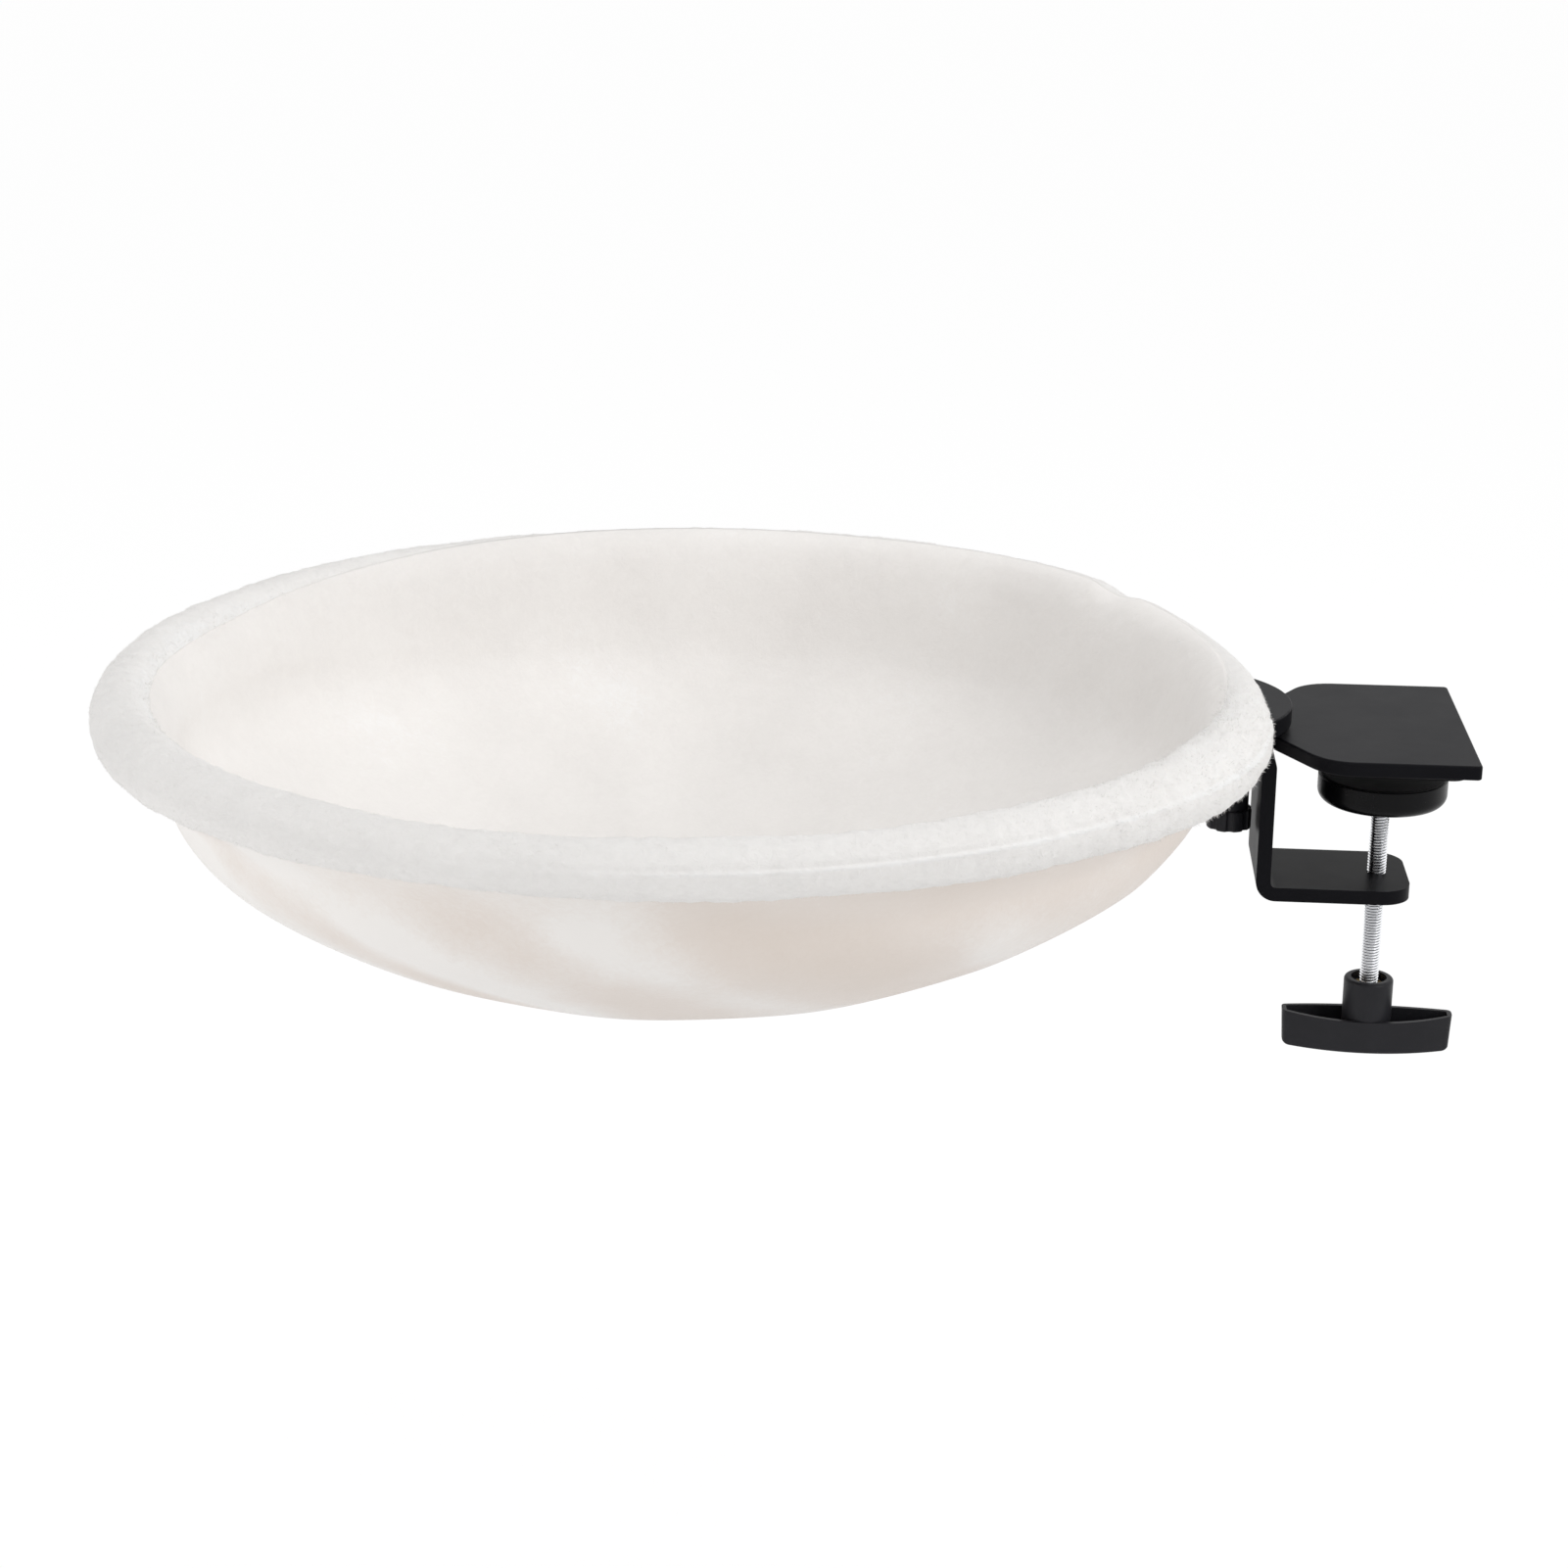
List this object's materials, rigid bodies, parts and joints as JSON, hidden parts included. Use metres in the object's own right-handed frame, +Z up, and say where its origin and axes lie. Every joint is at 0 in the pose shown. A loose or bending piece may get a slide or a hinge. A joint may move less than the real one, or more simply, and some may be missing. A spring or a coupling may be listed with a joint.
{
  "type": "window cat hammock",
  "caption": "Round plush bowl on a padded hoop that swivels on a screw clamp for a window sill or desk edge.",
  "frame": {"origin": "centre of the jaw liner's underside, on the clamp screw's axis", "axes": "+X along the clamp away from the bowl, +Z up"},
  "size_m": [0.5618, 0.4759, 0.1835],
  "materials": {
    "powder_steel": "satin charcoal powder coat",
    "zinc_steel": "bright zinc plate",
    "hoop_steel": "black powder coat",
    "handle_plastic": "fine moulded grain",
    "pad_plastic": "satin moulded",
    "black_rubber": "matte",
    "bush_plastic": "plain acetal",
    "brass_insert": "turned brass",
    "foam": "open-cell foam",
    "plush_white": "short-pile plush",
    "shell_fabric": "soft brushed woven fabric"
  },
  "bodies": {
    "clamp": {"clamp_plate": "powder_steel", "clamp_bracket": "powder_steel", "jaw_liner": "black_rubber", "bracket_screws": "zinc_steel", "pivot_bush": "bush_plastic"},
    "pad": {"pad_cup": "pad_plastic", "pad_rubber": "black_rubber", "pad_retainer": "zinc_steel"},
    "screw": {"clamp_screw": "zinc_steel", "t_handle": "handle_plastic", "handle_insert": "brass_insert"},
    "hammock": {"friction_washer": "bush_plastic", "swivel_plate": "powder_steel", "pivot_bolt": "zinc_steel", "hoop_saddle": "powder_steel", "saddle_screws": "zinc_steel", "hoop_tube_clamp_side": "hoop_steel", "hoop_tube_far_side": "hoop_steel", "hoop_ferrules": "zinc_steel", "ferrule_screws": "zinc_steel", "rim_padding": "foam", "rim_sleeve": "plush_white", "bowl_liner": "plush_white", "bowl_shell": "shell_fabric"},
    "lock_washer": {"pivot_washer": "zinc_steel"},
    "lock_knob": {"pivot_knob": "handle_plastic", "knob_insert": "brass_insert"}
  },
  "joints": [
    {"name": "pad_travel", "type": "slide", "parent": "clamp", "child": "pad", "axis": [0, 0, 1], "range_m": [-0.028, 0.014]},
    {"name": "screw_turn", "type": "hinge", "parent": "pad", "child": "screw", "pos_m": [0, 0, -0.06], "axis": [0, 0, 1], "range_deg": [-8200, 4100]},
    {"name": "swivel", "type": "hinge", "parent": "clamp", "child": "hammock", "pos_m": [-0.0635, 0, 0.01], "axis": [0, 0, 1], "range_deg": [-65, 35]},
    {"name": "lock_travel", "type": "slide", "parent": "hammock", "child": "lock_washer", "axis": [0, 0, 1], "range_m": [-0.0025, 0]},
    {"name": "lock_turn", "type": "hinge", "parent": "lock_washer", "child": "lock_knob", "pos_m": [-0.0635, 0, -0.02], "axis": [0, 0, 1], "range_deg": [-742, 0]}
  ],
  "couplings": [
    {"joint": "screw_turn", "follows": "pad_travel", "rad_per_m": 5026.5},
    {"joint": "lock_turn", "follows": "lock_travel", "rad_per_m": 5026.5}
  ]
}
